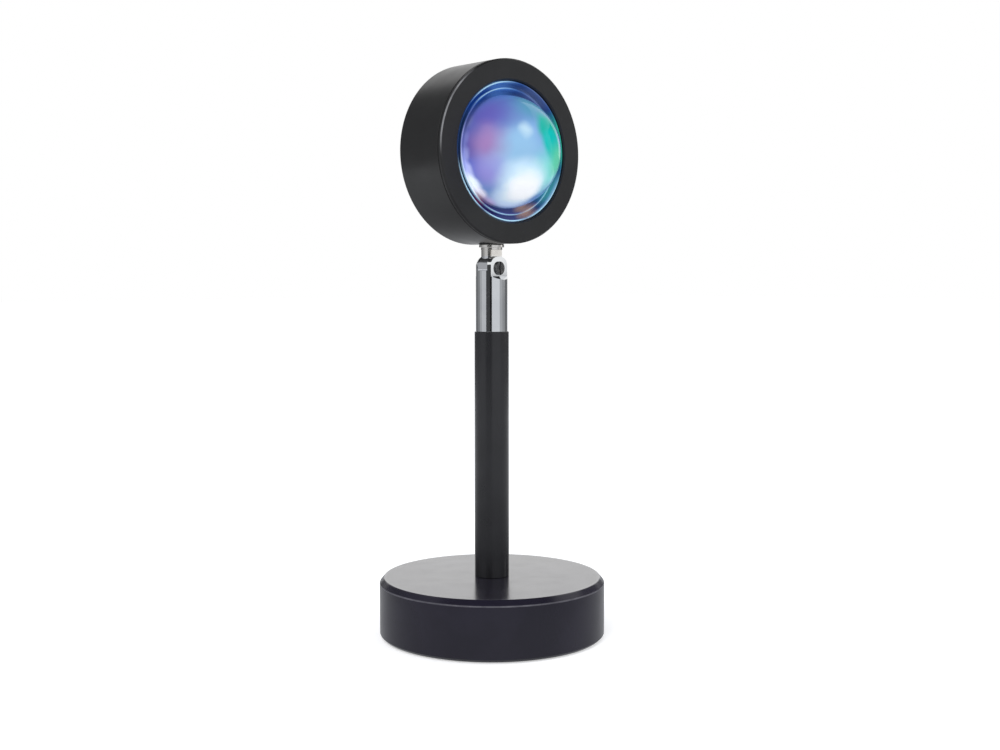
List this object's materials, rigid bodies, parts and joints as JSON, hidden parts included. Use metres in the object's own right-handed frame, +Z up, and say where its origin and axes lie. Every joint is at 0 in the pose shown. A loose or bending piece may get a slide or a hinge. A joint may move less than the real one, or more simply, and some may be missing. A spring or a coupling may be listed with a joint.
{
  "type": "sunset projection lamp",
  "caption": "Desk projection lamp: round weighted base, slim black pole, chrome tilting knuckle and a drum-shaped head with a domed tinted lens.",
  "frame": {"origin": "centre of the base's resting face, on the pole's axis", "axes": "+Z up along the pole, the head faces -Y at rest, +X to the right of the head seen from behind it"},
  "size_m": [0.1, 0.1014, 0.2535],
  "materials": {
    "black_paint": "smooth satin black paint with a blue tinge",
    "pole_paint": "fine matt black powder coat",
    "drum_paint": "aluminium with matt black paint",
    "bezel_paint": "aluminium with matt black paint",
    "chrome": "bright chrome plating",
    "nickel": "satin nickel plating",
    "lens_glass": "clear moulded glass over a coloured filter",
    "filter_glass": "thin coloured interference filter",
    "cast_weight": "rough casting",
    "foam_pad": "closed-cell foam",
    "rubber": "moulded rubber",
    "black_plastic": "moulded plastic",
    "steel": "zinc plated",
    "brass": "turned",
    "reflector": "metallised plastic",
    "bare_aluminium": "bare",
    "board_white": "white solder mask on an aluminium core",
    "chip_yellow": "phosphor under clear resin",
    "lead_jacket": "soft round jacket"
  },
  "bodies": {
    "base": {"base_shell": "black_paint", "counterweight": "cast_weight", "bottom_cover": "black_plastic", "base_pad": "foam_pad", "cover_screws": "steel", "cable_gland": "rubber", "base_nipple": "brass", "base_washer": "steel", "base_nut": "steel", "pole_tube": "pole_paint", "pole_bottom_bush": "brass", "pole_top_bush": "brass", "fork_nipple": "brass", "knuckle_fork": "chrome", "pivot_screw": "chrome", "pivot_washer": "steel", "pivot_nut": "chrome", "pole_lead": "lead_jacket"},
    "knuckle": {"swivel_stem": "nickel", "stem_washer": "steel", "stem_nut": "steel"},
    "head": {"slip_washer": "black_plastic", "head_drum": "drum_paint", "front_bezel": "bezel_paint", "lens": "lens_glass", "lens_gasket": "rubber", "lens_holder": "black_plastic", "color_filter": "filter_glass", "reflector": "reflector", "heatsink": "bare_aluminium", "heatsink_screws": "steel", "led_board": "board_white", "led_chip": "chip_yellow", "head_lead": "lead_jacket"}
  },
  "joints": [
    {"name": "tilt", "type": "hinge", "parent": "base", "child": "knuckle", "pos_m": [0, 0, 0.1633], "axis": [-0.1736, 0.9848, 0], "range_deg": [-50, 90]},
    {"name": "swivel", "type": "hinge", "parent": "knuckle", "child": "head", "pos_m": [0, 0, 0.1743], "axis": [0, 0, 1], "range_deg": [-170, 170]}
  ]
}
